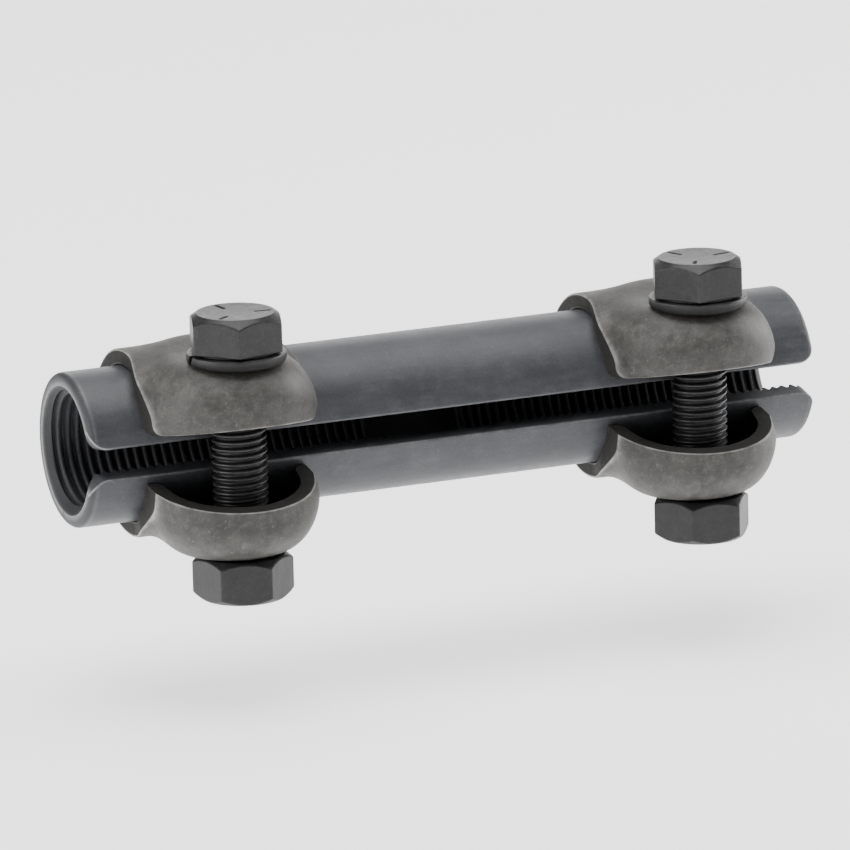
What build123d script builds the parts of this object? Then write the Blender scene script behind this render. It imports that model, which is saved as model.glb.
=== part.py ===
from build123d import *
import math
import os

os.makedirs("parts", exist_ok=True)

# Axes: +X along the tube, -Y the side with the slit, ears and bolts, +Z towards the bolt heads.
# The origin is on the tube's axis where the left thread starts.

# sleeve tube
TUBE_LENGTH = 113.0
TUBE_R = 11.2
BORE_R = 7.97
MOUTH_R = 9.40
MOUTH_CHAMFER = MOUTH_R - BORE_R
RELIEF_R = 8.90
RELIEF_LENGTH = 14.0
SLIT_WIDTH = 4.4
SLIT_HALF_TURN = math.degrees(math.asin(SLIT_WIDTH / 2 / TUBE_R))
END_ROUND = 0.9
LIP_ROUND = 2.6
LEFT_FACE = -MOUTH_CHAMFER
RIGHT_FACE = LEFT_FACE + TUBE_LENGTH
MID_X = LEFT_FACE + TUBE_LENGTH / 2

# clamps
LEFT_INSET = 20.55
RIGHT_INSET = 20.8
EAR_WIDTH = 24.8
STRAP_WIDTH = 22.4
STRAP = 2.3
STRAP_GAP = 0.1
STRAP_IN_R = TUBE_R + STRAP_GAP
STRAP_OUT_R = STRAP_IN_R + STRAP
SEAT_Z = 14.0
RIM_SIDE_Z = 3.8
RIM_FRONT_Z = 6.25
EAR_MID_Y = -12.8
EAR_FRONT = 11.2
EAR_REAR = 17.0
SHOULDER = 6.0
HUMP_LENGTH = 15.0
HUMP_WIDTH = 9.0
HUMP_Y = -1.0
HUMP_Z = 14.4
HUMP_ROUND = 0.7

# bolt, lock washer and nut (5/16-24)
BOLT_Y = -15.55
BOLT_R = 3.97
HOLE_R = 4.05
ACROSS_FLATS = 12.6
HEAD_HEIGHT = 5.67
BOLT_LENGTH = 35.6
POINT_CHAMFER = 0.7
WASHER_OUT_R = 7.1
WASHER_IN_R = 4.04
WASHER_THICK = 1.6
WASHER_SPLIT = 1.1
WASHER_BEVEL = 0.4
NUT_HEIGHT = 6.2
NUT_BORE_R = BOLT_R + 0.04
NUT_MOUTH_R = 4.5
LEFT_HEAD_TURN = 12.7
RIGHT_HEAD_TURN = 7.7
LEFT_STROKES_TURN = -17.3
RIGHT_STROKES_TURN = 1.0
LEFT_NUT_TURN = -17.1
RIGHT_NUT_TURN = -5.0
HEAD_FLAT = 0.885
NUT_FLAT = 0.955


def ringBand(outer, inner, length, x_mid):
    band = Cylinder(outer, length) - Cylinder(inner, length + 2)
    return Pos(x_mid, 0, 0) * Rot(0, 90, 0) * band


# egg-shaped outline: one half ellipse in front of the ear's middle line and a longer one behind it
def eggPlan(half_width, front, rear):
    front_half = Ellipse(half_width, front) & Pos(0, -front, 0) * Rectangle(4 * front, 2 * front)
    rear_half = Ellipse(half_width, rear) & Pos(0, rear, 0) * Rectangle(4 * front, 2 * rear)
    return front_half + rear_half


def dome(half_width, front, rear, top_z, shoulder):
    plan = Pos(0, EAR_MID_Y, 0) * eggPlan(half_width, front, rear)
    body = extrude(plan, top_z)
    top_edges = body.faces().sort_by(Axis.Z)[-1].edges()
    return fillet(top_edges, shoulder)


def makeTube():
    tube = Pos(MID_X, 0, 0) * Rot(0, 90, 0) * Cylinder(TUBE_R, TUBE_LENGTH)
    tube = fillet(tube.edges().filter_by(GeomType.CIRCLE), END_ROUND)
    bore = Pos(MID_X, 0, 0) * Rot(0, 90, 0) * Cylinder(BORE_R, TUBE_LENGTH + 2)
    relief = Pos(MID_X, 0, 0) * Rot(0, 90, 0) * Cylinder(RELIEF_R, RELIEF_LENGTH)
    tube = tube - bore - relief
    cone = Cone(MOUTH_R, BORE_R, MOUTH_CHAMFER)
    tube -= Pos(LEFT_FACE + MOUTH_CHAMFER / 2, 0, 0) * Rot(0, 90, 0) * cone
    tube -= Pos(RIGHT_FACE - MOUTH_CHAMFER / 2, 0, 0) * Rot(0, -90, 0) * cone
    # the slit's walls are radial, and the round on the lip corners flares each end
    reach = 2 * TUBE_R
    outer_z = reach * math.tan(math.radians(SLIT_HALF_TURN))
    wedge = make_face(Polyline((0, 0), (-reach, outer_z), (-reach, -outer_z), close=True))
    slit = Pos(LEFT_FACE - 1, 0, 0) * extrude(Plane.YZ * wedge, TUBE_LENGTH + 2)
    for side in (1, -1):
        for face_x, inward in ((LEFT_FACE, 1), (RIGHT_FACE, -1)):
            block = Pos(face_x + inward * LIP_ROUND / 2, -TUBE_R, side * LIP_ROUND / 2)
            block *= Box(LIP_ROUND, reach, LIP_ROUND)
            round_off = Pos(face_x + inward * LIP_ROUND, -TUBE_R, side * LIP_ROUND)
            round_off *= Rot(90, 0, 0) * Cylinder(LIP_ROUND, reach + 2)
            slit += Rot(-side * SLIT_HALF_TURN, 0, 0) * (block - round_off)
    return tube - slit


def makeClamp(x_mid):
    band = ringBand(STRAP_OUT_R, STRAP_IN_R, STRAP_WIDTH, 0)
    window = 2 * STRAP_OUT_R
    band -= Pos(0, -window / 2, 0) * Box(EAR_WIDTH, window, 2 * RIM_SIDE_Z)
    half = EAR_WIDTH / 2
    outer = dome(half, EAR_FRONT, EAR_REAR, SEAT_Z, SHOULDER)
    inner = dome(half - STRAP, EAR_FRONT - STRAP, EAR_REAR - STRAP, SEAT_Z - STRAP, SHOULDER - STRAP)
    # the rim rises from the side corners to the front of the ear
    front_y = EAR_MID_Y - EAR_FRONT
    rim_side = [(EAR_MID_Y, 0), (EAR_MID_Y, RIM_SIDE_Z), (front_y - 1, RIM_FRONT_Z), (front_y - 1, 0)]
    rim_cut = extrude(Plane.YZ * make_face(Polyline(*rim_side, close=True)), EAR_WIDTH, both=True)
    rear_cut = Pos(0, 0, RIM_SIDE_Z / 2) * Box(EAR_WIDTH + 2, -2 * EAR_MID_Y, RIM_SIDE_Z)
    outer = outer - rim_cut - rear_cut
    tube_room = Rot(0, 90, 0) * Cylinder(STRAP_IN_R, EAR_WIDTH + 2)
    hole = Pos(0, BOLT_Y, SEAT_Z) * Cylinder(HOLE_R, 4 * STRAP)
    # the metal humps up a little behind each bolt seat
    hump = Pos(0, HUMP_Y, 0) * extrude(Ellipse(HUMP_LENGTH / 2, HUMP_WIDTH / 2), HUMP_Z)
    hump = fillet(hump.faces().sort_by(Axis.Z)[-1].edges(), HUMP_ROUND)
    clamp = band
    for bulge in (outer, hump):
        clamp = clamp + bulge + mirror(bulge, about=Plane.XY)
    for room in (inner, hole):
        clamp = clamp - room - mirror(room, about=Plane.XY)
    clamp -= tube_room
    return Pos(x_mid, 0, 0) * clamp


def hexBlank(height, turn):
    blank = extrude(RegularPolygon(ACROSS_FLATS / 2, 6, major_radius=False, rotation=turn), height)
    return blank


# double cone that rounds off a hexagon's corners at its lower and upper faces
def cornerCut(height, flat, low, high):
    reach = ACROSS_FLATS / math.sqrt(3) + 0.02
    flat_r = ACROSS_FLATS / 2 * flat
    drop = (reach - flat_r) * math.tan(math.radians(35))
    points = [(0, 0)]
    points += [(flat_r, 0), (reach, drop)] if low else [(reach, 0)]
    points += [(reach, height - drop), (flat_r, height)] if high else [(reach, height)]
    points += [(0, height)]
    return revolve(Plane.XZ * make_face(Polyline(*points, close=True)), Axis.Z)


def makeBolt(x_mid, turn, strokes_turn):
    under = SEAT_Z + WASHER_THICK
    head = hexBlank(HEAD_HEIGHT, turn) & cornerCut(HEAD_HEIGHT, HEAD_FLAT, False, True)
    bolt = Pos(0, 0, under) * head
    shank = Pos(0, 0, under - BOLT_LENGTH / 2) * Cylinder(BOLT_R, BOLT_LENGTH)
    shank = chamfer(shank.edges().sort_by(Axis.Z)[0], POINT_CHAMFER)
    bolt += shank
    # three shallow radial grade strokes on the head
    for angle in (0, 120, 240):
        stroke = Rot(0, 0, angle + strokes_turn) * Pos(3.85, 0, under + HEAD_HEIGHT) * Box(2.6, 0.5, 0.4)
        bolt -= stroke
    return Pos(x_mid, BOLT_Y, 0) * bolt


def makeWasher(x_mid, split_angle):
    ring = Cylinder(WASHER_OUT_R, WASHER_THICK) - Cylinder(WASHER_IN_R, WASHER_THICK + 2)
    rims = ring.edges().filter_by(GeomType.CIRCLE).group_by(SortBy.RADIUS)[-1]
    ring = chamfer(rims.sort_by(Axis.Z)[0], WASHER_BEVEL)
    gap = Pos(WASHER_OUT_R, 0, 0) * Rot(20, 0, 0) * Box(2 * WASHER_OUT_R, WASHER_SPLIT, 4 * WASHER_THICK)
    ring -= Rot(0, 0, split_angle) * gap
    return Pos(x_mid, BOLT_Y, SEAT_Z + WASHER_THICK / 2) * ring


def makeNut(x_mid, turn):
    nut = hexBlank(NUT_HEIGHT, turn) & cornerCut(NUT_HEIGHT, NUT_FLAT, True, True)
    nut -= Pos(0, 0, NUT_HEIGHT / 2) * Cylinder(NUT_BORE_R, NUT_HEIGHT + 2)
    depth = NUT_MOUTH_R - NUT_BORE_R
    cone = Cone(NUT_MOUTH_R, NUT_BORE_R, depth)
    nut -= Pos(0, 0, depth / 2) * cone
    nut -= Pos(0, 0, NUT_HEIGHT - depth / 2) * Rot(180, 0, 0) * cone
    return Pos(x_mid, BOLT_Y, -SEAT_Z - NUT_HEIGHT) * nut


LEFT_X = LEFT_FACE + LEFT_INSET
RIGHT_X = RIGHT_FACE - RIGHT_INSET

nodes = {
    "sleeve_tube": makeTube(),
    "left_clamp": makeClamp(LEFT_X),
    "right_clamp": makeClamp(RIGHT_X),
    "left_bolt": makeBolt(LEFT_X, LEFT_HEAD_TURN, LEFT_STROKES_TURN),
    "right_bolt": makeBolt(RIGHT_X, RIGHT_HEAD_TURN, RIGHT_STROKES_TURN),
    "left_lock_washer": makeWasher(LEFT_X, 180),
    "right_lock_washer": makeWasher(RIGHT_X, 0),
    "left_nut": makeNut(LEFT_X, LEFT_NUT_TURN),
    "right_nut": makeNut(RIGHT_X, RIGHT_NUT_TURN),
}

for name, shape in nodes.items():
    export_step(shape, f"parts/{name}.step")
    box = shape.bounding_box()
    print(name, round(shape.volume, 1), box.size)
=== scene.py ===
import bmesh
import bpy
import math
import numpy as np
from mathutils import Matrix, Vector


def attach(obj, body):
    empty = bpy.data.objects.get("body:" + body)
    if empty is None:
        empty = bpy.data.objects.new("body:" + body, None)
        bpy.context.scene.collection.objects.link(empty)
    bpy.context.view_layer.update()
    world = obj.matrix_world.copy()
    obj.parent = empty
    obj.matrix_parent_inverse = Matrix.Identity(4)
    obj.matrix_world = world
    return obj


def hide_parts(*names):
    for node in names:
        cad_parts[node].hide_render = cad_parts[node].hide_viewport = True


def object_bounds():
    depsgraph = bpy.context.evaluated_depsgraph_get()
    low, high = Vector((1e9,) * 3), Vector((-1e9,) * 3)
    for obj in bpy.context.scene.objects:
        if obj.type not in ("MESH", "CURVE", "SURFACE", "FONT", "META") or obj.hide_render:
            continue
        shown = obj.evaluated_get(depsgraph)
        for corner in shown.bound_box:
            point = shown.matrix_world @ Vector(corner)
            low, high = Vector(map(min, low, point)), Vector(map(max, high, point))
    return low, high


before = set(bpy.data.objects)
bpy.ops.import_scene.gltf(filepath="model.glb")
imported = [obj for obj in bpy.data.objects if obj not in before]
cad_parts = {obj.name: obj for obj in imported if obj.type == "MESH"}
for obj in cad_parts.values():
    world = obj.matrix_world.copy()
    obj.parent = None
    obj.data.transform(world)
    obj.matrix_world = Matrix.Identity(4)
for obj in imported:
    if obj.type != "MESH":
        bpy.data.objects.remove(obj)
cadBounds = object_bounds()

mm = 0.001
print("frame loaded:", len(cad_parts), "nodes")


class Wire:  # one socket, so that node maths can be written as a formula
    def __init__(self, graph, socket):
        self.graph = graph
        self.socket = socket

    def __add__(self, other): return self.graph.math("ADD", self, other)
    def __radd__(self, other): return self.graph.math("ADD", other, self)
    def __sub__(self, other): return self.graph.math("SUBTRACT", self, other)
    def __rsub__(self, other): return self.graph.math("SUBTRACT", other, self)
    def __mul__(self, other): return self.graph.math("MULTIPLY", self, other)
    def __rmul__(self, other): return self.graph.math("MULTIPLY", other, self)
    def __truediv__(self, other): return self.graph.math("DIVIDE", self, other)
    def __pow__(self, other): return self.graph.math("POWER", self, other)
    def __neg__(self): return self.graph.math("MULTIPLY", self, -1.0)


class Graph:  # adds nodes to a material or a geometry tree
    def __init__(self, tree):
        self.tree = tree

    def node(self, kind, settings=None, values=None):
        item = self.tree.nodes.new(kind)
        for name, value in (settings or {}).items():
            setattr(item, name, value)
        for name, value in (values or {}).items():
            self.feed(item.inputs[name], value)
        return item

    def feed(self, socket, value):
        if isinstance(value, Wire):
            self.tree.links.new(value.socket, socket)
        else:
            socket.default_value = value

    def out(self, item, name=0):
        return Wire(self, item.outputs[name])

    def math(self, operation, *values):
        return self.out(self.node("ShaderNodeMath", {"operation": operation}, dict(enumerate(values))))

    def limit(self, value, low=0.0, high=1.0):
        return self.math("MINIMUM", self.math("MAXIMUM", value, low), high)

    def blend(self, factor, first, second, how="MIX"):  # two colours, each a link or red, green and blue
        first, second = [(*c, 1) if isinstance(c, tuple) else c for c in (first, second)]
        mix = self.node("ShaderNodeMix", {"data_type": "RGBA", "blend_type": how},
                        {"Factor": factor, 6: first, 7: second})
        return self.out(mix, 2)


# helical threads: one tree makes the threads of the bolts, the nuts and the tube
threadInputs = {"Columns": 64, "Rows per Turn": 8, "Start": 0.0, "End": 0.01, "Pitch": 0.001,
                "Crest Radius": 0.004, "Root Radius": 0.0035, "Hand": 1.0, "Mouth Radius": 0.0035,
                "Mouth Slope": 1.0, "Run Out": 0.001, "Slit Half Angle": 0.0, "Lip Round": 0.0}
threadWave = 0.62  # over a half, so that crests and roots come out a little flat


def threadTree():
    tree = bpy.data.node_groups.new("helicalThread", "GeometryNodeTree")
    tree.is_modifier = True
    for label, value in threadInputs.items():
        kind = "NodeSocketInt" if isinstance(value, int) else "NodeSocketFloat"
        tree.interface.new_socket(label, in_out="INPUT", socket_type=kind).default_value = value
    tree.interface.new_socket("Geometry", in_out="OUTPUT", socket_type="NodeSocketGeometry")
    g = Graph(tree)
    source = g.node("NodeGroupInput")
    given = {label: g.out(source, label) for label in threadInputs}
    start, end, pitch = given["Start"], given["End"], given["Pitch"]
    hand, crest, root = given["Hand"], given["Crest Radius"], given["Root Radius"]
    turns = g.math("CEIL", (end - start) / pitch) + 1.0
    rows = turns * given["Rows per Turn"] + 1.0
    grid = g.node("GeometryNodeMeshGrid", None, {"Size X": 1.0, "Size Y": 1.0, "Vertices X": given["Columns"],
                                                 "Vertices Y": rows})
    place = g.node("ShaderNodeSeparateXYZ", None, {0: g.out(g.node("GeometryNodeInputPosition"))})
    across = g.out(place, "X") + 0.5
    along = g.out(place, "Y") + 0.5
    twoPi = 2 * math.pi
    edge = given["Slit Half Angle"]
    turn = (edge + across * (twoPi - 2.0 * edge)) / twoPi
    lead = hand * turn + (1.0 - hand) * 0.5
    height = g.limit(start + pitch * (along * turns - 1.0 + lead), start, end)
    phase = (height - start) / pitch - hand * turn
    depth = g.limit(0.5 - threadWave * g.math("COSINE", phase * twoPi))
    depth = depth * g.limit((end - height) / given["Run Out"])
    side = g.math("SIGN", root - crest)
    cone = given["Mouth Radius"] - side * given["Mouth Slope"] * (height - start)
    radius = side * g.math("MAXIMUM", side * (crest + (root - crest) * depth), side * cone)
    # a slit's walls are radial, and flare where the corner of its lip is rounded off
    inRound = g.limit(given["Lip Round"] - (height - start))
    flare = given["Lip Round"] - g.math("SQRT", given["Lip Round"] ** 2.0 - inRound ** 2.0)
    wall = edge + g.math("ARCSINE", flare / radius)
    angle = wall + across * (twoPi - 2.0 * wall)
    spot = g.node("ShaderNodeCombineXYZ", None, {"X": radius * g.math("COSINE", angle),
                                                 "Y": radius * g.math("SINE", angle), "Z": height})
    moved = g.node("GeometryNodeSetPosition", None, {"Geometry": g.out(grid, "Mesh"),
                                                     "Position": g.out(spot)})
    real = g.node("GeometryNodeRealizeInstances", None, {"Geometry": g.out(moved)})
    steel = g.node("GeometryNodeSetMaterial", None, {"Geometry": g.out(real),
                                                     "Material": bpy.data.materials["threadSteel"]})
    g.node("NodeGroupOutput", None, {"Geometry": g.out(steel)})
    return tree


def threadPoints(tree, **sizes):  # a grid of points, [column, row], round the local Z axis
    carrier = bpy.data.objects.new("threadMaker", bpy.data.meshes.new("threadMaker"))
    bpy.context.scene.collection.objects.link(carrier)
    modifier = carrier.modifiers.new("thread", "NODES")
    modifier.node_group = tree
    for item in tree.interface.items_tree:
        if item.in_out == "INPUT" and item.name in sizes:
            modifier[item.identifier] = sizes[item.name]
    evaluated = carrier.evaluated_get(bpy.context.evaluated_depsgraph_get())
    mesh = bpy.data.meshes.new_from_object(evaluated)
    points = np.empty(len(mesh.vertices) * 3)
    mesh.vertices.foreach_get("co", points)
    bpy.data.objects.remove(carrier)
    bpy.data.meshes.remove(mesh)
    return points.reshape(sizes["Columns"], -1, 3)


class Shell:  # gathers points and faces in millimetres, then makes one closed mesh
    def __init__(self):
        self.points, self.faces, self.wear, self.count = [], [], [], 0

    def add(self, points, wear=0.0):
        points = np.asarray(points, float)
        flat = points.reshape(-1, 3)
        index = np.arange(self.count, self.count + len(flat)).reshape(points.shape[:-1])
        self.points.append(flat)
        self.wear.append(np.broadcast_to(np.asarray(wear, float), points.shape[:-1]).reshape(-1))
        self.count += len(flat)
        return index

    def at(self, index):
        return np.vstack(self.points)[index]

    def quads(self, index, closed=False):
        if closed:
            index = np.vstack([index, index[:1]])
        a, b, c, d = index[:-1, :-1], index[1:, :-1], index[1:, 1:], index[:-1, 1:]
        self.faces += np.stack([a, b, c, d], -1).reshape(-1, 4).tolist()

    def move(self, x, y=0.0):
        for block in self.points:
            block += (x, y, 0.0)

    def cap(self, ring, height):  # a fan from a point on the local Z axis
        centre = self.add(np.array([[0.0, 0.0, height]]))
        self.faces += [[int(a), int(b), int(centre[0])] for a, b in zip(ring[:-1], ring[1:])]

    def strip(self, first, second):  # quads between two rows of the same length
        self.quads(np.stack([first, second], 1))

    def zip(self, first, second, firstAt, secondAt):  # triangles between rows of different lengths
        i, j = 0, 0
        while i < len(first) - 1 or j < len(second) - 1:
            goFirst = j == len(second) - 1 or (i < len(first) - 1 and firstAt[i + 1] <= secondAt[j + 1])
            if goFirst:
                self.faces.append([int(first[i]), int(second[j]), int(first[i + 1])])
                i += 1
            else:
                self.faces.append([int(first[i]), int(second[j]), int(second[j + 1])])
                j += 1

    def build(self, name, material, sharp=35.0):
        mesh = bpy.data.meshes.new(name)
        mesh.from_pydata((np.vstack(self.points) * mm).tolist(), [], self.faces)
        # per point: above zero rubbed wear with some painted sheen; below zero dark scale and painted shade
        mark = mesh.attributes.new("wear", "FLOAT", "POINT")
        mark.data.foreach_set("value", np.concatenate(self.wear))
        shape = bmesh.new()
        shape.from_mesh(mesh)
        bmesh.ops.remove_doubles(shape, verts=shape.verts, dist=2e-6)
        bmesh.ops.dissolve_degenerate(shape, edges=shape.edges, dist=1e-7)
        loose = [v for v in shape.verts if not v.link_faces]
        bmesh.ops.delete(shape, geom=loose, context="VERTS")
        bmesh.ops.recalc_face_normals(shape, faces=shape.faces)
        shape.to_mesh(mesh)
        openEdges = sum(1 for e in shape.edges if len(e.link_faces) != 2)
        shape.free()
        mesh.polygons.foreach_set("use_smooth", [True] * len(mesh.polygons))
        mesh.set_sharp_from_angle(angle=math.radians(sharp))
        mesh.materials.append(material)
        piece = bpy.data.objects.new(name, mesh)
        bpy.context.scene.collection.objects.link(piece)
        print(name, "has", len(mesh.polygons), "faces,", openEdges, "edges not shared by two")
        return piece


def softMin(a, b, width):
    overlap = np.maximum(width - np.abs(a - b), 0.0) / width
    return np.minimum(a, b) - overlap * overlap * width / 4


# the slit tube
tube = {"length": 113.0, "outerR": 11.2, "boreR": 7.97, "rootR": 8.76, "mouthR": 9.40, "reliefR": 8.90,
        "reliefLength": 14.0, "slitHalf": 2.2, "endRound": 0.9, "lipRound": 2.6, "lipEdge": 0.32,
        "pitch": 25.4 / 18, "columns": 97, "lipWear": (0.0, 0.35, 0.8, 0.8, 0.3), "lipWearReach": 4.0,
        "upperLipWear": 0.15, "lowerLipWear": 0.5, "rimWear": 0.15, "rimWearAt": 0.85, "rimWearWide": 0.25,
        "endDark": 0.5, "endDarkTo": 0.7, "endDarkFade": 0.4, "mouthWear": 0.45, "mouthWearWide": 0.15,
        "boreShade": 0.7, "boreShadeFrom": 0.3, "threadPale": 0.3, "threadPaleFrom": 1.4, "threadPaleOver": 1.5}
tube["chamfer"] = tube["mouthR"] - tube["boreR"]
tube["middle"] = tube["length"] / 2 - tube["chamfer"]
tube["slitAngle"] = math.asin(tube["slitHalf"] / tube["outerR"])


def tubeArc(along, radius, edge):  # one row round the tube, from the slit's lower wall to its upper one
    angle = edge + np.linspace(0, 1, tube["columns"]) * (2 * math.pi - 2 * edge)
    return np.stack([np.full_like(angle, along), -radius * np.cos(angle), -radius * np.sin(angle)], -1)


def tubeInside(tree):  # the threaded bore, [column, row]; its right half mirrors the left one
    threadEnd = (tube["length"] - tube["reliefLength"]) / 2
    left = threadPoints(tree, **{
        "Columns": tube["columns"], "Rows per Turn": 8, "Start": 0.0, "End": threadEnd * mm,
        "Pitch": tube["pitch"] * mm, "Crest Radius": tube["boreR"] * mm, "Root Radius": tube["rootR"] * mm,
        "Hand": -1.0, "Mouth Radius": tube["mouthR"] * mm, "Mouth Slope": 1.0, "Run Out": tube["pitch"] * mm,
        "Slit Half Angle": tube["slitAngle"], "Lip Round": tube["lipRound"] * mm}) / mm
    left = np.stack([left[..., 2], -left[..., 0], -left[..., 1]], -1)
    relief = [tubeArc(threadEnd + step, radius, tube["slitAngle"])
              for step, radius in ((0.0, tube["boreR"]), (0.02, tube["reliefR"]),
                                   (tube["reliefLength"] / 4, tube["reliefR"]))]
    left = np.concatenate([left, np.stack(relief, 1)], 1)
    right = left[:, ::-1].copy()
    right[..., 0] = tube["length"] - right[..., 0]
    return np.concatenate([left, right], 1)


def tubeOutside():  # the outer wall with both lips, [column, row], its wear, and where the rows lie
    edge = tube["lipEdge"]
    # rows lie closer together where the end and the lip's corner turn
    turnSteps = tube["endRound"] * (1 - np.cos(np.radians(np.arange(0, 91, 15))))
    lipSteps = np.linspace(0.0, tube["lipRound"], 14)[1:]
    wallSteps = np.linspace(4, tube["length"] / 2, 14)
    steps = np.unique(np.round(np.concatenate([turnSteps, lipSteps, wallSteps]), 4))
    places = np.concatenate([steps, (tube["length"] - steps)[::-1][1:]])
    lipWear = np.array(tube["lipWear"])
    rows, wearRows = [], []
    for along in places:
        fromEnd = min(along, tube["length"] - along)
        drop = max(tube["endRound"] - fromEnd, 0.0)
        radius = tube["outerR"] - tube["endRound"] + math.sqrt(tube["endRound"] ** 2 - drop ** 2)
        inRound = max(tube["lipRound"] - fromEnd, 0.0)
        flare = tube["lipRound"] - math.sqrt(tube["lipRound"] ** 2 - inRound ** 2)
        tilt = tube["slitAngle"] + math.asin((flare + edge) / (radius - edge))
        centreY, centreZ = (radius - edge) * math.cos(tilt), (radius - edge) * math.sin(tilt)
        # the worn corner between the outer wall and the slit's wall
        bend = np.linspace(tilt, tube["slitAngle"] - math.pi / 2, len(lipWear) + 1)[1:]
        upper = np.stack([np.full_like(bend, along), -(centreY + edge * np.cos(bend)),
                          centreZ + edge * np.sin(bend)], -1)
        rows.append(np.concatenate([upper[::-1] * (1, 1, -1), tubeArc(along, radius, tilt), upper]))
        # the end's face is dark, with a pale line where it meets the wall
        wallWear = tube["rimWear"] * math.exp(-((fromEnd - tube["rimWearAt"]) / tube["rimWearWide"]) ** 2)
        wallWear -= tube["endDark"] * min(max((tube["endDarkTo"] - fromEnd) / tube["endDarkFade"], 0.0), 1.0)
        # the lips are worn most at the mouth
        atMouth = math.exp(-(fromEnd / tube["lipWearReach"]) ** 2)
        lowerShare, upperShare = [share + (1 - share) * atMouth
                                  for share in (tube["lowerLipWear"], tube["upperLipWear"])]
        wearRows.append(np.concatenate([lipWear * lowerShare, np.full(tube["columns"], wallWear),
                                        lipWear[::-1] * upperShare]))
    return np.stack(rows, 1), np.stack(wearRows, 1), places


def makeTube(tree, material):
    outside, outsideMarks, outsideAt = tubeOutside()
    inside = tubeInside(tree)
    # pale at the mouth's very edge, then painted shade inside the bore: darkest in the chamfer and dark in
    # the threads
    fromEnd = np.minimum(inside[..., 0], tube["length"] - inside[..., 0])
    insideMarks = tube["mouthWear"] * np.exp(-(fromEnd / tube["mouthWearWide"]) ** 2)
    insideMarks -= tube["boreShade"] * np.clip(fromEnd / tube["boreShadeFrom"], 0, 1)
    intoThread = (fromEnd - tube["threadPaleFrom"]) / tube["threadPaleOver"]
    insideMarks += tube["threadPale"] * np.clip(intoThread, 0, 1)
    shell = Shell()
    outer, inner = shell.add(outside, outsideMarks), shell.add(inside, insideMarks)
    shell.quads(outer)
    shell.quads(inner)
    for side in (0, -1):
        shell.zip(outer[side], inner[side], outsideAt, inside[0, :, 0])
    lip = len(tube["lipWear"])
    for end in (0, -1):
        ring = outer[:, end]
        shell.strip(ring[lip:-lip], inner[:, end])
        shell.faces.append(ring[:lip + 1].tolist() + [int(inner[0, end])])
        shell.faces.append(ring[-lip - 1:].tolist() + [int(inner[-1, end])])
    shell.move(-tube["chamfer"])
    return shell.build("sleeveTube", material)


# the clamps: a strap round the tube whose two ends are pressed into shallow cups
clamp = {"width": 24.8, "strapWidth": 22.4, "strap": 2.3, "outerR": 13.6, "seatZ": 14.0, "rimSideZ": 3.8,
         "rimFrontZ": 6.12, "earMidY": -12.8, "earFront": 11.2, "earRear": 17.0, "shoulder": 5.0,
         "sideShoulder": 8.0, "crease": 2.6, "edge": 0.24, "narrowFrom": -8.5, "narrowOver": 7.0,
         "rimTaper": 0.05, "taperOver": 2.6, "cornerRound": 1.7, "humpRise": 0.8, "humpX": 7.5, "humpY": 4.0,
         "humpMidY": -1.0, "boltY": -15.55, "holeR": 4.05, "drillDepth": 40.0, "acrossLevels": 84,
         "earLevels": 104, "backLevels": 22, "earSweep": 105, "cutScaleAndShade": 0.9, "cutFrom": 0.07,
         "shoulderWearAndSheen": 0.12, "shoulderWearAndSheenZ": 11.6, "shoulderWearAndSheenHigh": 1.5, "shoulderWearAndSheenY": -6.0,
         "rimWearRows": 0.6, "sideWearFrom": 0.06, "sideWearWide": 0.12, "insideMarks": 0.3, "insideShade": 0.5}


def clampDepth(x, y, z):  # how far a point stands outside the strap's outer skin
    z = np.abs(z)
    ring = np.sqrt(y * y + z * z) - clamp["outerR"]
    # the metal humps up a little behind each bolt seat
    behind = (y - clamp["humpMidY"]) / clamp["humpY"]
    ring = ring - clamp["humpRise"] * np.exp(-(x / clamp["humpX"]) ** 4 - behind ** 2)
    half = clamp["width"] / 2
    off = y - clamp["earMidY"]
    reach = np.where(off < 0, clamp["earFront"], clamp["earRear"])
    k0 = np.sqrt((x / half) ** 2 + (off / reach) ** 2) + 1e-9
    k1 = np.sqrt((x / half ** 2) ** 2 + (off / reach ** 2) ** 2) + 1e-9
    plan = k0 * (k0 - 1) / k1
    top = z - clamp["seatZ"]
    r = clamp["shoulder"] + (clamp["sideShoulder"] - clamp["shoulder"]) * np.minimum((x / half) ** 2, 1)
    a, b = np.maximum(plan + r, 0), np.maximum(top + r, 0)
    cup = np.sqrt(a * a + b * b) + np.minimum(np.maximum(plan + r, top + r), 0) - r
    return softMin(ring, cup, clamp["crease"])


def rimHeight(y):
    share = np.clip((clamp["earMidY"] - y) / clamp["earFront"], -0.2, 1.1)
    return clamp["rimSideZ"] + (clamp["rimFrontZ"] - clamp["rimSideZ"]) * share


def halve(isLow, low, high, rounds=30):  # closes in on the value at which isLow turns false
    for _ in range(rounds):
        mid = (low + high) / 2
        under = isLow(mid)
        low, high = np.where(under, mid, low), np.where(under, high, mid)
    return (low + high) / 2


def skinRadius(x, angle, level):  # from the tube's axis to the skin that lies `level` inside the outer one
    shape = np.broadcast(x, angle).shape
    return halve(lambda radius: clampDepth(x, -radius * np.cos(angle), radius * np.sin(angle)) < -level,
                 np.full(shape, 9.0), np.full(shape, 30.0))


def skinGrid(levels, level):  # points over the upper half, from the rim round to the back
    x = levels[:, None]

    def underRim(angle):
        radius = skinRadius(x, angle, level)
        return radius * np.sin(angle) < rimHeight(-radius * np.cos(angle))

    rim = halve(underRim, np.zeros(x.shape), np.full(x.shape, math.radians(60)))
    ear = np.linspace(0, 1, clamp["earLevels"])[None, :] ** 1.12
    back = np.linspace(0, 1, clamp["backLevels"])[None, 1:]
    sweep, rest = math.radians(clamp["earSweep"]), math.radians(180 - clamp["earSweep"])
    angle = np.concatenate([rim + ear * (sweep - rim), sweep + back * rest + 0 * rim], 1)
    return angle, skinRadius(x, angle, level)


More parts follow.
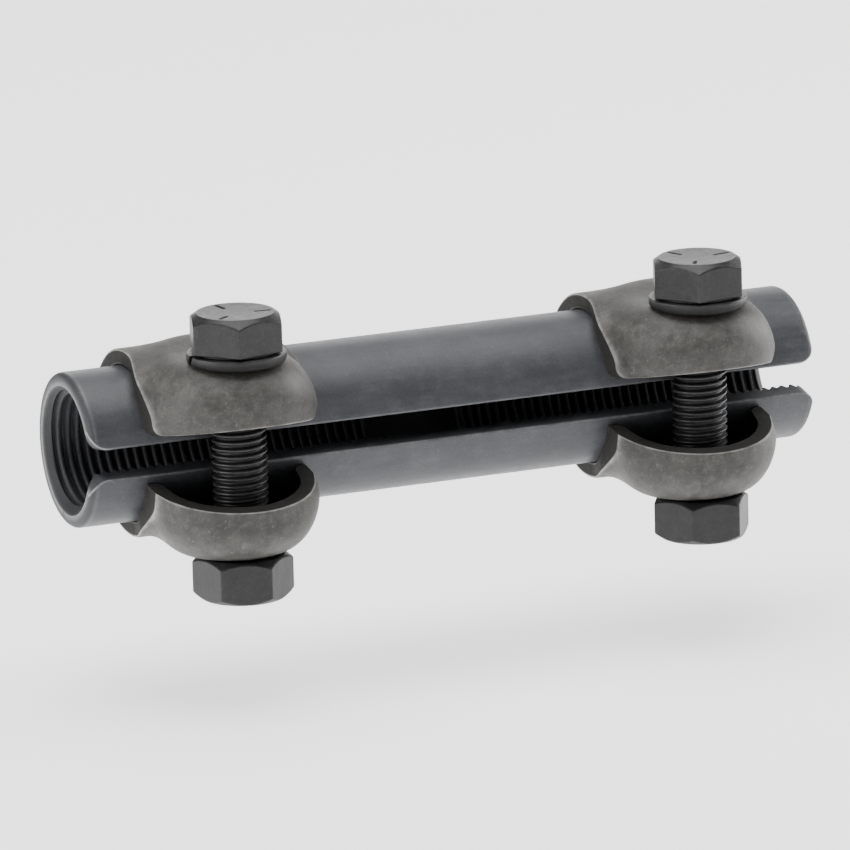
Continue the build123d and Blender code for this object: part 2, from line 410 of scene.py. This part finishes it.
def clampSkin(levels, inset, level, sign):  # one whole skin, rim to rim, its edges broken by pulling them in
    edge, half, x = clamp["edge"], clamp["width"] / 2, levels[:, None]
    inset = inset[:, None]
    angle, radius = skinGrid(levels, level)
    radius = radius + sign * inset
    first, lift = angle[:, :1], edge / radius[:, :1]
    bend = np.radians([90, 60, 30])
    roundAngles = first + lift * (1 - np.sin(bend))
    roundRadii = skinRadius(x, roundAngles, level) + sign * (inset + edge * (1 - np.cos(bend)))
    keep = angle[:, 1:] > first + lift
    lifted = skinRadius(x, first + lift, level) + sign * inset
    angle = np.concatenate([roundAngles, np.where(keep, angle[:, 1:], first + lift)], 1)
    radius = np.concatenate([roundRadii, np.where(keep, radius[:, 1:], lifted)], 1)
    # the strap is narrower than the ears
    back, rise = -radius * np.cos(angle), radius * np.sin(angle)
    share = np.clip((back - clamp["narrowFrom"]) / clamp["narrowOver"], 0, 1)
    narrow = 1 - (1 - clamp["strapWidth"] / clamp["width"]) * share * share * (3 - 2 * share)
    # the upper ear's left corner is rounded off, and both ears are drawn in a little at the right
    aboveRim = rise - rimHeight(back)
    nearCorner = np.clip(1 - aboveRim / clamp["cornerRound"], 0, 1) * (back < 0)
    rounded = clamp["cornerRound"] / half * (1 - np.sqrt(1 - nearCorner ** 2))
    drawnIn = clamp["rimTaper"] * (np.clip(1 - aboveRim / clamp["taperOver"], 0, 1) * (back < 0)) ** 2
    upper, lower = [np.stack([x * narrow * (1 - np.where(x < 0, corner, drawnIn)), back, side * rise], -1)
                    for side, corner in ((1, rounded), (-1, 0 * rounded))]
    return np.concatenate([upper, lower[:, ::-1][:, 1:]], 1)


def drillClamp(piece, middle):
    drill = bpy.data.objects.new("drill", bpy.data.meshes.new("drill"))
    bpy.context.scene.collection.objects.link(drill)
    shape = bmesh.new()
    bmesh.ops.create_cone(shape, cap_ends=True, segments=96, radius1=clamp["holeR"] * mm,
                          radius2=clamp["holeR"] * mm, depth=clamp["drillDepth"] * mm)
    bmesh.ops.translate(shape, verts=shape.verts, vec=(middle * mm, clamp["boltY"] * mm, 0))
    shape.to_mesh(drill.data)
    shape.free()
    cut = piece.modifiers.new("holes", "BOOLEAN")
    cut.operation, cut.solver, cut.object = "DIFFERENCE", "EXACT", drill
    drilled = bpy.data.meshes.new_from_object(piece.evaluated_get(bpy.context.evaluated_depsgraph_get()))
    piece.modifiers.clear()
    piece.data = drilled
    drilled.name = piece.name
    drilled.set_sharp_from_angle(angle=math.radians(40))
    bpy.data.objects.remove(drill)
    print(piece.name, "drilled:", len(drilled.polygons), "faces")


def makeClamp(name, middle, material):
    half, edge = clamp["width"] / 2, clamp["edge"]
    flat = (half - edge) * np.cos(np.linspace(math.pi, 0, clamp["acrossLevels"]))
    bend = np.radians([30, 60, 90])
    sideLevels, sideInsets = half - edge + edge * np.sin(bend), edge * (1 - np.cos(bend))
    levels = np.concatenate([-sideLevels[::-1], flat, sideLevels])
    inset = np.concatenate([sideInsets[::-1], 0 * flat, sideInsets])
    outside = clampSkin(levels, inset, 0.0, -1)
    inside = clampSkin(levels, inset, clamp["strap"], 1)
    count = outside.shape[1]
    fromRim = np.minimum(np.arange(count), count - 1 - np.arange(count))
    rimWear = np.exp(-np.maximum(fromRim - 1, 0) / clamp["rimWearRows"])
    sideWear = np.exp(-np.maximum(half - np.abs(levels) - clamp["sideWearFrom"], 0) / clamp["sideWearWide"])
    edgeWear = np.maximum(rimWear[None, :], sideWear[:, None])
    # the pressed shoulders are rubbed as well, and given a painted highlight
    fromShoulder = (np.abs(outside[..., 2]) - clamp["shoulderWearAndSheenZ"]) / clamp["shoulderWearAndSheenHigh"]
    shoulderWearAndSheen = np.exp(-fromShoulder ** 2) * (outside[..., 1] < clamp["shoulderWearAndSheenY"])
    shell = Shell()
    outer = shell.add(outside, np.maximum(edgeWear, clamp["shoulderWearAndSheen"] * shoulderWearAndSheen))
    # the inner skin, which faces the tube, is painted in shade, with its edges worn
    inner = shell.add(inside, clamp["insideMarks"] * edgeWear - clamp["insideShade"])
    shell.quads(outer)
    shell.quads(inner)
    # cut faces are dark between their two worn edges: dark scale with painted shade
    for first, second in ((outer[0], inner[0]), (outer[-1], inner[-1]), (outer[:, 0], inner[:, 0]),
                          (outer[:, -1], inner[:, -1])):
        rows = [first]
        for share in (clamp["cutFrom"], 1 - clamp["cutFrom"]):
            between = shell.at(first) * (1 - share) + shell.at(second) * share
            rows.append(shell.add(between, -clamp["cutScaleAndShade"]))
        rows.append(second)
        for before, after in zip(rows, rows[1:]):
            shell.strip(before, after)
    shell.move(middle)
    piece = shell.build(name, material, sharp=40.0)
    drillClamp(piece, middle)
    return piece


# bolts, nuts and lock washers, all on the clamp's bolt line
bolt = {"majorR": 3.97, "rootR": 3.36, "pitch": 25.4 / 24, "underHead": 15.6, "length": 35.6,
        "threadTop": 11.5, "point": 0.7, "flats": 12.6, "headHeight": 5.67, "headFlat": 0.885, "faceR": 6.05,
        "faceStep": 0.32, "faceEdge": 0.12, "strokeFrom": 2.55, "strokeTo": 5.15, "strokeHalf": 0.36,
        "strokeDepth": 0.26, "strokeFade": 0.4, "dish": 0.14, "chamferAngle": 35, "chamferBlend": 0.22,
        "cornerBlend": 0.16, "cornerWear": 0.08, "crestWear": 0.45, "crestWearDeep": 0.10, "rootDark": 0.2,
        "rimWear": 0.5, "strokeDark": 0.5, "columns": 73, "steps": 360}
nut = {"height": 6.2, "top": -14.0, "flat": 0.955, "mouthR": 4.5, "crestR": 3.5, "rootR": 4.02, "runOut": 0.6}
# the washer's outer face is painted lighter along its top as a highlight, and darker below as shade
lockWasher = {"outerR": 7.1, "innerR": 4.04, "thick": 1.6, "taper": 0.06, "split": 1.1, "skew": 0.9,
              "bevel": 0.45, "round": 0.2, "steps": 121, "topSheenShare": 0.75, "topSheen": 0.1, "dark": 1.0}


def hexRadius():  # from the axis to a hexagon's side, its corners just broken; step 0 is a corner
    angle = np.arange(bolt["steps"]) * 2 * math.pi / bolt["steps"]
    toCorner = np.abs((angle + math.pi / 6) % (math.pi / 3) - math.pi / 6)
    near, far = [bolt["flats"] / 2 / np.cos(off) for off in (math.pi / 6 - toCorner, math.pi / 6 + toCorner)]
    return softMin(near, far, bolt["cornerBlend"])


def hexSide(heights, low, high, lowFlat, highFlat):  # a hexagon, cut by a cone above and, if asked, below
    slope = math.tan(math.radians(bolt["chamferAngle"]))
    side = hexRadius()[:, None] + 0 * heights[None, :]
    upperCone = highFlat * bolt["flats"] / 2 + (high - heights)[None, :] / slope
    side = softMin(side, upperCone + 0 * side, bolt["chamferBlend"])
    if lowFlat:
        lowerCone = lowFlat * bolt["flats"] / 2 + (heights - low)[None, :] / slope
        side = softMin(side, lowerCone + 0 * side, bolt["chamferBlend"])
    return side


def spin(radius, height, turn):  # points for radius[step, row] at height[step, row]
    angle = (math.radians(turn) + np.arange(bolt["steps"]) * 2 * math.pi / bolt["steps"])[:, None]
    return np.stack([radius * np.cos(angle), radius * np.sin(angle), height + 0 * radius], -1)


def hexWear(points, turn):  # the hexagon's corners get knocked
    angle = np.arctan2(points[..., 1], points[..., 0]) - math.radians(turn)
    toCorner = np.abs((angle + math.pi / 6) % (math.pi / 3) - math.pi / 6)
    return bolt["cornerWear"] * np.exp(-(toCorner / 0.035) ** 2)


def joinRound(shell, thread, ring, turn):  # from a thread's row to a hexagon's, both a whole turn
    order = [(i - round(turn)) % bolt["steps"] for i in range(bolt["steps"] + 1)]
    shell.zip(thread, ring[order], np.linspace(0, 1, bolt["columns"]), np.linspace(0, 1, bolt["steps"] + 1))


def headTop(points, high, flatR, turn):  # presses a shallow dish and three radial strokes into the head
    away = np.hypot(points[..., 0], points[..., 1])
    onTop = points[..., 2] > high - 0.001
    sink = bolt["dish"] * np.clip(1 - (away / (flatR - 0.5)) ** 2, 0, 1)
    strokes = 0 * away
    for extra in (0, 120, 240):
        aim = math.radians(turn + extra)
        along = points[..., 0] * math.cos(aim) + points[..., 1] * math.sin(aim)
        beside = np.abs(-points[..., 0] * math.sin(aim) + points[..., 1] * math.cos(aim))
        ends = np.clip((along - bolt["strokeFrom"]) / bolt["strokeFade"], 0, 1)
        ends = ends * np.clip((bolt["strokeTo"] - along) / bolt["strokeFade"], 0, 1)
        strokes = np.maximum(strokes, ends * np.clip(1 - beside / bolt["strokeHalf"], 0, 1))
    points[..., 2] -= np.where(onTop, sink + bolt["strokeDepth"] * strokes, 0)
    flatRim = bolt["rimWear"] * np.exp(-np.abs(away - flatR) / 0.12)
    topWear = np.where(strokes > 0.1, -bolt["strokeDark"], flatRim)
    return onTop, topWear


def makeBolt(name, middle, headTurn, strokeTurn, tree, material):
    b = bolt
    tip = b["underHead"] - b["length"]
    thread = threadPoints(tree, **{
        "Columns": b["columns"], "Rows per Turn": 8, "Start": tip * mm, "End": b["threadTop"] * mm,
        "Pitch": b["pitch"] * mm, "Crest Radius": b["majorR"] * mm, "Root Radius": b["rootR"] * mm,
        "Hand": 1.0, "Mouth Radius": (b["majorR"] - b["point"]) * mm, "Mouth Slope": 1.0,
        "Run Out": b["pitch"] * mm}) / mm
    shell = Shell()
    crest = np.exp(-(b["majorR"] - np.hypot(thread[..., 0], thread[..., 1])) / b["crestWearDeep"])
    threaded = shell.add(thread, b["crestWear"] * crest - b["rootDark"])
    shell.quads(threaded)
    shell.cap(threaded[:, 0], tip)
    # plain shank up to the head, then the head from its washer face outwards
    angle = np.linspace(0, 2 * math.pi, b["columns"])
    shank = shell.add(np.stack([b["majorR"] * np.cos(angle), b["majorR"] * np.sin(angle),
                                np.full(b["columns"], b["underHead"])], -1))
    shell.strip(threaded[:, -1], shank)
    low, high = b["underHead"] + b["faceStep"], b["underHead"] + b["headHeight"]
    faceR = np.full((b["steps"], 3), b["faceR"])
    faceR[:, 0] -= b["faceEdge"]
    faceZ = np.array([b["underHead"], b["underHead"] + 0.08, low])[None, :]
    heights = np.concatenate([[low], np.linspace(low + 0.12, high - 1.35, 14),
                              np.linspace(high - 1.3, high, 26)])
    side = hexSide(heights, low, high, None, b["headFlat"])
    side[:, 0] -= b["faceEdge"]
    flatR = b["headFlat"] * b["flats"] / 2
    top = np.tile(np.linspace(flatR - 0.1, 0.25, 56), (b["steps"], 1))
    points = spin(np.concatenate([faceR, side, top], 1),
                  np.concatenate([faceZ + 0 * faceR, heights[None, :] + 0 * side, high + 0 * top], 1),
                  headTurn)
    onTop, topWear = headTop(points, high, flatR, strokeTurn)
    head = shell.add(points, np.where(onTop, topWear, hexWear(points, headTurn)))
    shell.quads(head, closed=True)
    shell.cap(np.append(head[:, -1], head[0, -1]), points[:, -1, 2].mean())
    joinRound(shell, shank, head[:, 0], headTurn)
    shell.move(middle, clamp["boltY"])
    return shell.build(name, material, sharp=28.0)


def makeNut(name, middle, turn, tree, material):
    low, high = nut["top"] - nut["height"], nut["top"]
    bore = threadPoints(tree, **{
        "Columns": bolt["columns"], "Rows per Turn": 8, "Start": low * mm, "End": high * mm,
        "Pitch": bolt["pitch"] * mm, "Crest Radius": nut["crestR"] * mm, "Root Radius": nut["rootR"] * mm,
        "Hand": 1.0, "Mouth Radius": nut["mouthR"] * mm, "Mouth Slope": 1.0,
        "Run Out": nut["runOut"] * mm}) / mm
    # the upper mouth is countersunk as well
    away = np.hypot(bore[..., 0], bore[..., 1])
    wide = np.maximum(away, nut["mouthR"] - (high - bore[..., 2]))
    bore[..., :2] *= (wide / away)[..., None]
    heights = np.concatenate([np.linspace(low, low + 1.0, 22), np.linspace(low + 1.2, high - 1.2, 10),
                              np.linspace(high - 1.0, high, 22)])
    side = hexSide(heights, low, high, nut["flat"], nut["flat"])
    flatR = nut["flat"] * bolt["flats"] / 2
    inward = np.tile(np.linspace(flatR - 0.15, nut["mouthR"], 8), (bolt["steps"], 1))
    points = spin(np.concatenate([inward[:, ::-1], side, inward], 1),
                  np.concatenate([low + 0 * inward, heights[None, :] + 0 * side, high + 0 * inward], 1), turn)
    shell = Shell()
    outer = shell.add(points, hexWear(points, turn))
    shell.quads(outer, closed=True)
    inner = shell.add(bore)
    shell.quads(inner)
    for end in (0, -1):
        joinRound(shell, inner[:, end], outer[:, end], turn)
    shell.move(middle, clamp["boltY"])
    return shell.build(name, material, sharp=28.0)


def makeWasher(name, middle, splitAt, material):
    w = lockWasher
    # the wire's section: slightly thicker at the inside, bevelled below, and rounded at every corner
    corners = [(w["innerR"], 0.0), (w["outerR"] - w["bevel"], 0.0), (w["outerR"], w["bevel"]),
               (w["outerR"], w["thick"] - w["taper"]), (w["innerR"], w["thick"])]
    section = []
    for i, corner in enumerate(corners):
        back, on = np.array(corners[i - 1]) - corner, np.array(corners[(i + 1) % len(corners)]) - corner
        for share in np.linspace(0, 1, 5):
            start = np.array(corner) + back / np.linalg.norm(back) * w["round"] * (1 - share) ** 2
            section.append(start + on / np.linalg.norm(on) * w["round"] * share ** 2)
    across, up = np.array(section).T
    gap = w["split"] / w["outerR"]
    lean = w["skew"] * (up[None, :] / w["thick"] - 0.5) / w["outerR"]
    share = np.linspace(0, 1, w["steps"])[:, None]
    angle = math.radians(splitAt) + gap / 2 + lean + share * (2 * math.pi - gap)
    points = np.stack([across[None, :] * np.cos(angle), across[None, :] * np.sin(angle),
                       clamp["seatZ"] + up[None, :] + 0 * angle], -1)
    # the outer face has a painted highlight along its top and painted shade below
    outsideMarks = np.where(up > w["topSheenShare"] * w["thick"], w["topSheen"], -w["dark"])
    outsideMarks *= across > w["outerR"] - 0.6
    shell = Shell()
    index = shell.add(points, outsideMarks[None, :] + 0 * angle)
    shell.quads(np.concatenate([index, index[:, :1]], 1))
    for end in (0, -1):
        shell.faces.append(index[end].tolist())
    shell.move(middle, clamp["boltY"])
    return shell.build(name, material, sharp=50.0)


# every finish is mixed from cloudy patches, fine grain, bare metal where rubbed with some painted sheen, and
# dark scale on cut faces whose colour also paints shade in hollows and under parts
patterns = {"grain": 3600.0, "streak": 900.0, "fleck": 1500.0, "rub": 420.0, "bump": 0.55,
            "bumpDepth": 0.00008, "shade": 0.46, "streakShade": 0.46, "grainShade": 0.62, "cutDull": 0.3,
            "rubShine": 0.14, "ior": 1.5, "cloudRange": (0.3, 0.72), "dustRange": (0.48, 0.78),
            "fleckRange": (0.66, 0.76), "rubRange": (0.32, 0.7)}


def steelFinish(name, look):
    material = bpy.data.materials.new(name)
    material.use_nodes = True
    material.node_tree.nodes.clear()
    g = Graph(material.node_tree)
    coords = g.out(g.node("ShaderNodeTexCoord"), "Object")
    wear = g.out(g.node("ShaderNodeAttribute", {"attribute_name": "wear"}), "Fac")

    def noise(scale, detail, stretch=(1, 1, 1), rough=0.55):
        mapped = g.out(g.node("ShaderNodeMapping", None, {"Vector": coords, "Scale": stretch}))
        return g.out(g.node("ShaderNodeTexNoise", None, {"Vector": mapped, "Scale": scale, "Detail": detail,
                                                         "Roughness": rough}), "Fac")

    def ramp(value, low, high):
        return g.limit((value - low) / (high - low))

    cloud = noise(look["cloudScale"], 5.0)
    patch = noise(look["patchScale"], 3.0, rough=0.65)
    grain = noise(patterns["grain"], 3.0)
    streak = noise(patterns["streak"], 3.0, look["streak"], 0.6)
    fleck = ramp(noise(patterns["fleck"], 2.0, rough=0.7), *patterns["fleckRange"])
    tone = g.blend(ramp(cloud, *patterns["cloudRange"]), look["dark"], look["light"])
    tone = g.blend(ramp(patch, *patterns["dustRange"]) * look["dust"], tone, look["dustColour"])
    shade = patterns["shade"] + streak * patterns["streakShade"] + grain * patterns["grainShade"]
    shade = g.limit(shade, 0.0, 2.0)
    grey = g.out(g.node("ShaderNodeCombineColor", None, {"Red": shade, "Green": shade, "Blue": shade}))
    tone = g.blend(1.0, tone, grey, "MULTIPLY")
    rub = 0.35 + 1.3 * ramp(noise(patterns["rub"], 4.0, rough=0.7), *patterns["rubRange"])
    # bare metal where rubbed, together with painted sheen; the dark colour below zero is scale and painted
    # shade
    rubbedAndSheen = g.limit(wear * rub * look["wear"] + fleck * look["fleck"])
    scaleAndShade = g.limit(-wear)
    tone = g.blend(rubbedAndSheen, g.blend(scaleAndShade, tone, look["cut"]), look["bare"])
    height = grain * look["grain"] + cloud * look["ripple"] + streak * look["lineDepth"]
    bump = g.node("ShaderNodeBump", None, {"Strength": patterns["bump"], "Distance": patterns["bumpDepth"],
                                           "Height": height})
    roughness = look["roughness"] + (patch - 0.5) * 0.22 + (streak - 0.5) * 0.16
    roughness = g.limit(roughness - rubbedAndSheen * patterns["rubShine"] + scaleAndShade * patterns["cutDull"], 0.16, 0.9)
    shader = g.node("ShaderNodeBsdfPrincipled", None, {
        "Base Color": tone, "Roughness": roughness, "Metallic": g.limit(look["metallic"] + rubbedAndSheen * 0.4),
        "Normal": g.out(bump), "IOR": patterns["ior"], "Specular IOR Level": look["shine"]})
    g.node("ShaderNodeOutputMaterial", None, {"Surface": g.out(shader)})
    return material


# each look's cut colour is dark scale, and also the painted shade in the bores, inside the clamps and under
# the washers
tubeLook = {"dark": (0.042, 0.044, 0.049), "light": (0.060, 0.0625, 0.069),
            "dustColour": (0.105, 0.108, 0.114), "cut": (0.008, 0.008, 0.009), "bare": (0.38, 0.38, 0.37),
            "dust": 0.3, "wear": 0.6, "fleck": 0.08, "cloudScale": 160.0, "patchScale": 420.0,
            "streak": (0.12, 1, 1), "grain": 0.5, "ripple": 0.5, "lineDepth": 0.35, "roughness": 0.44,
            "metallic": 0.12, "shine": 0.45}
clampLook = {"dark": (0.034, 0.0325, 0.029), "light": (0.060, 0.0575, 0.052),
             "dustColour": (0.115, 0.111, 0.102), "cut": (0.010, 0.009, 0.008), "bare": (0.46, 0.45, 0.43),
             "dust": 0.4, "wear": 0.45, "fleck": 0.15, "cloudScale": 420.0, "patchScale": 900.0,
             "streak": (1, 1, 1), "grain": 0.9, "ripple": 0.5, "lineDepth": 0.3, "roughness": 0.54,
             "metallic": 0.12, "shine": 0.4}
fastenerLook = {"dark": (0.010, 0.010, 0.0105), "light": (0.017, 0.017, 0.0175),
                "dustColour": (0.045, 0.045, 0.045), "cut": (0.003, 0.003, 0.003), "bare": (0.30, 0.30, 0.30),
                "dust": 0.3, "wear": 0.25, "fleck": 0.06, "cloudScale": 420.0, "patchScale": 900.0,
                "streak": (1, 1, 0.15), "grain": 0.55, "ripple": 0.35, "lineDepth": 0.4, "roughness": 0.40,
                "metallic": 0.05, "shine": 0.35}

tubeSteel = steelFinish("tubeSteel", tubeLook)
clampSteel = steelFinish("clampSteel", clampLook)
threadSteel = steelFinish("threadSteel", fastenerLook)
print("finishes mixed")

# where each clamp stands, and how its fasteners are turned
sides = {"left": {"x": 20.55 - tube["chamfer"],
                  "head": 12.7, "strokes": -17.3, "nut": -17.1, "split": 180},
         "right": {"x": tube["length"] - tube["chamfer"] - 20.8,
                   "head": 7.7, "strokes": 1.0, "nut": -5.0, "split": 0}}

threads = threadTree()
pieces = [("sleeve_tube", "sleeve", "tube_steel", makeTube(threads, tubeSteel))]
for side, at in sides.items():
    clampPiece = makeClamp(f"{side}Clamp", at["x"], clampSteel)
    boltPiece = makeBolt(f"{side}Bolt", at["x"], at["head"], at["strokes"], threads, threadSteel)
    washerPiece = makeWasher(f"{side}LockWasher", at["x"], at["split"], threadSteel)
    nutPiece = makeNut(f"{side}Nut", at["x"], at["nut"], threads, threadSteel)
    pieces += [(f"{side}_clamp", f"{side}_clamp", "clamp_steel", clampPiece),
               (f"{side}_bolt", f"{side}_bolt", "fastener_steel", boltPiece),
               (f"{side}_lock_washer", f"{side}_lock_washer", "fastener_steel", washerPiece),
               (f"{side}_nut", f"{side}_nut", "fastener_steel", nutPiece)]
for node, body, slotName, piece in pieces:
    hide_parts(node)
    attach(piece, body)
print("pieces in place:", len(pieces))

# floor, light and camera; the floor lies low enough to clear every pose
stage = {"floorSize": 6.0, "floorDrop": 0.016, "floorShade": 0.93, "floorGlow": 1.1, "worldLight": 0.24,
         "distance": 1.256, "azimuth": -22.56, "elevation": 13.89, "roll": 1.44, "lens": 367.3,
         "shiftX": -0.0066, "shiftY": -0.0236}
lights = [  # name, where it stands, size and power
    ("topBox", (0.05, 0.05, 0.85), 0.8, 10.0),
    ("leftBox", (-0.95, 0.05, 0.35), 0.7, 9.0),
    ("rightBox", (1.05, 0.10, 0.30), 0.7, 11.0),
    ("backBox", (0.62, 1.38, 0.42), 1.0, 7.5),
]


def placed(name, data):
    item = bpy.data.objects.new(name, data)
    bpy.context.scene.collection.objects.link(item)
    return item


def makeFloor():
    size, level = stage["floorSize"], cadBounds[0][2] - stage["floorDrop"]
    mesh = bpy.data.meshes.new("floor")
    corners = [(x * size, y * size, level) for x, y in ((-1, -1), (1, -1), (1, 1), (-1, 1))]
    mesh.from_pydata(corners, [], [(0, 1, 2, 3)])
    paint = bpy.data.materials.new("paleFloor")
    paint.use_nodes = True
    shade = stage["floorShade"]
    for socket, value in {"Base Color": (shade, shade, shade, 1), "Roughness": 0.9,
                          "Emission Color": (1, 1, 1, 1), "Emission Strength": stage["floorGlow"]}.items():
        paint.node_tree.nodes["Principled BSDF"].inputs[socket].default_value = value
    mesh.materials.append(paint)
    floor = placed("floor", mesh)


def makeLights(centre):
    for name, where, size, power in lights:
        lamp = bpy.data.lights.new(name, "AREA")
        lamp.shape, lamp.size, lamp.energy = "SQUARE", size, power
        item = placed(name, lamp)
        item.location = where
        item.rotation_euler = (centre - item.location).to_track_quat("-Z", "Y").to_euler()
    world = bpy.data.worlds.new("studio")
    world.use_nodes = True
    world.node_tree.nodes["Background"].inputs["Color"].default_value = (1, 1, 1, 1)
    world.node_tree.nodes["Background"].inputs["Strength"].default_value = stage["worldLight"]
    bpy.context.scene.world = world


def makeCamera(centre):
    camera = placed("camera", bpy.data.cameras.new("camera"))
    azimuth, elevation = math.radians(stage["azimuth"]), math.radians(stage["elevation"])
    back = Vector((math.sin(azimuth) * math.cos(elevation), -math.cos(azimuth) * math.cos(elevation),
                   math.sin(elevation)))
    camera.location = centre + back * stage["distance"]
    camera.rotation_euler = back.to_track_quat("Z", "Y").to_euler()
    camera.rotation_euler.rotate_axis("Z", -math.radians(stage["roll"]))
    camera.data.sensor_width = 36.0
    camera.data.lens = stage["lens"]
    camera.data.shift_x, camera.data.shift_y = stage["shiftX"], stage["shiftY"]
    camera.data.clip_start = 0.01
    bpy.context.scene.camera = camera


tubeMiddle = Vector((tube["middle"] * mm, 0, 0))
makeFloor()
makeLights(tubeMiddle)
makeCamera(tubeMiddle)
print("stage set")
